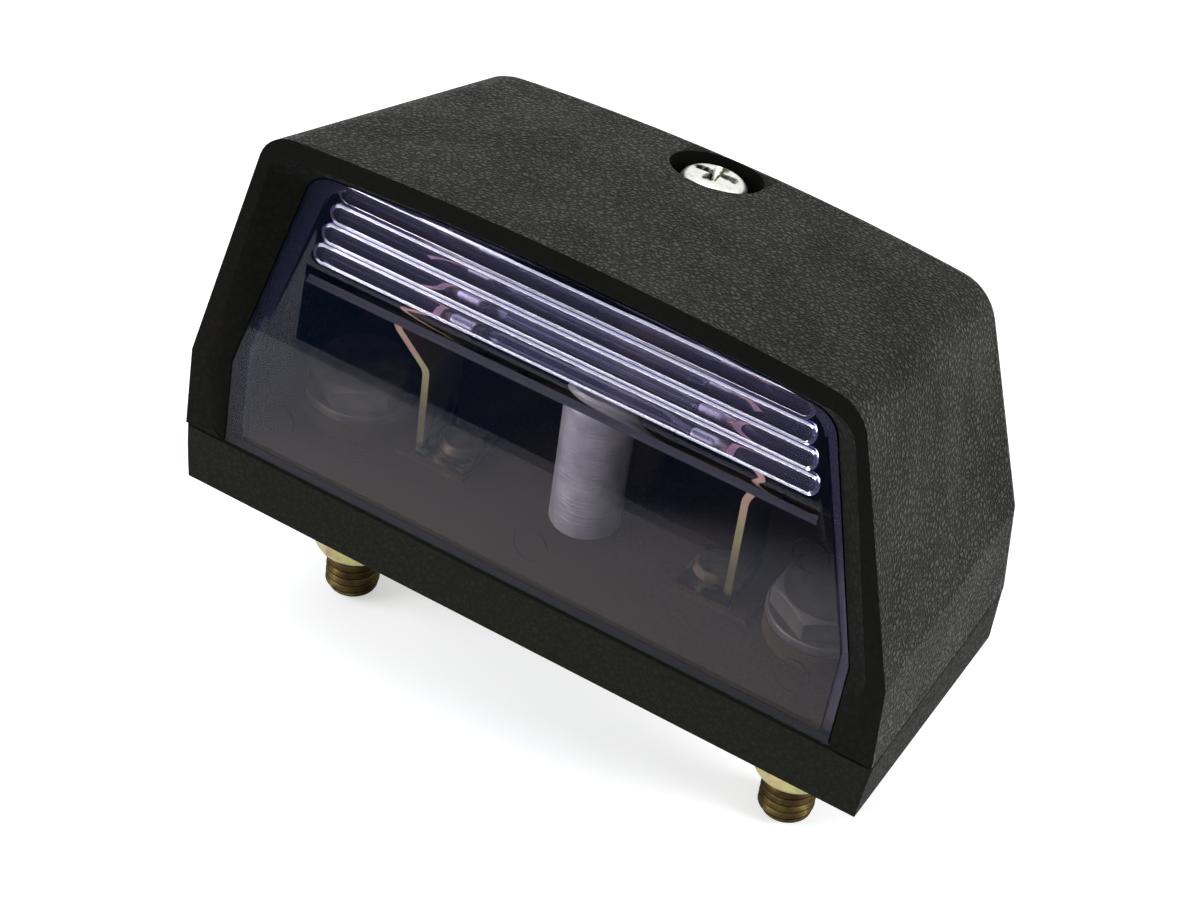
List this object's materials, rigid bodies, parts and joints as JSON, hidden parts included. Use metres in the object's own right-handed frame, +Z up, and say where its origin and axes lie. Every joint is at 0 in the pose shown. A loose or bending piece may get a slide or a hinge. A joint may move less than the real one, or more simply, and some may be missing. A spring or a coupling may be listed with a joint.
{
  "type": "number plate lamp",
  "caption": "Number plate lamp with an arched black hood, a ribbed clear lens set back in a bevelled window, a festoon bulb on sprung contacts and a pair of threaded studs below.",
  "frame": {"origin": "on the underside of the base, midway between the two stud axes", "axes": "+X to the right along the base, -Y out of the window, +Z up away from the panel"},
  "size_m": [0.08, 0.0379, 0.0684],
  "materials": {
    "base_plastic": "smooth satin black",
    "hood_plastic": "fine leather grain, smooth on rim and bevel",
    "lens_clear": "clear with a faint violet tint, polished",
    "seal_rubber": "matt",
    "bright_zinc": "bright zinc plate",
    "brass": "plain",
    "stud_zinc": "yellow zinc plate, brownish gold",
    "yellow_zinc": "pale yellow zinc plate",
    "nylon": "natural nylon",
    "contact_bronze": "spring bronze, lightly tarnished",
    "bulb_glass": "clear",
    "cap_nickel": "nickel plate",
    "tungsten": "drawn wire"
  },
  "bodies": {
    "root": {"base_plate": "base_plastic", "cover": "hood_plastic", "lens": "lens_clear", "base_seal": "seal_rubber", "cover_screw": "bright_zinc", "screw_insert": "brass", "stud_left": "stud_zinc", "stud_right": "stud_zinc", "stud_washer_left": "yellow_zinc", "stud_washer_right": "yellow_zinc", "lock_nut_left": "yellow_zinc", "lock_nut_right": "yellow_zinc", "nut_ring_left": "nylon", "nut_ring_right": "nylon", "contact_left": "contact_bronze", "contact_right": "contact_bronze", "contact_rivet_left": "brass", "contact_rivet_right": "brass", "terminal_left": "brass", "terminal_right": "brass", "bulb_glass": "bulb_glass", "bulb_cap_left": "cap_nickel", "bulb_cap_right": "cap_nickel", "bulb_filament": "tungsten"}
  },
  "joints": []
}
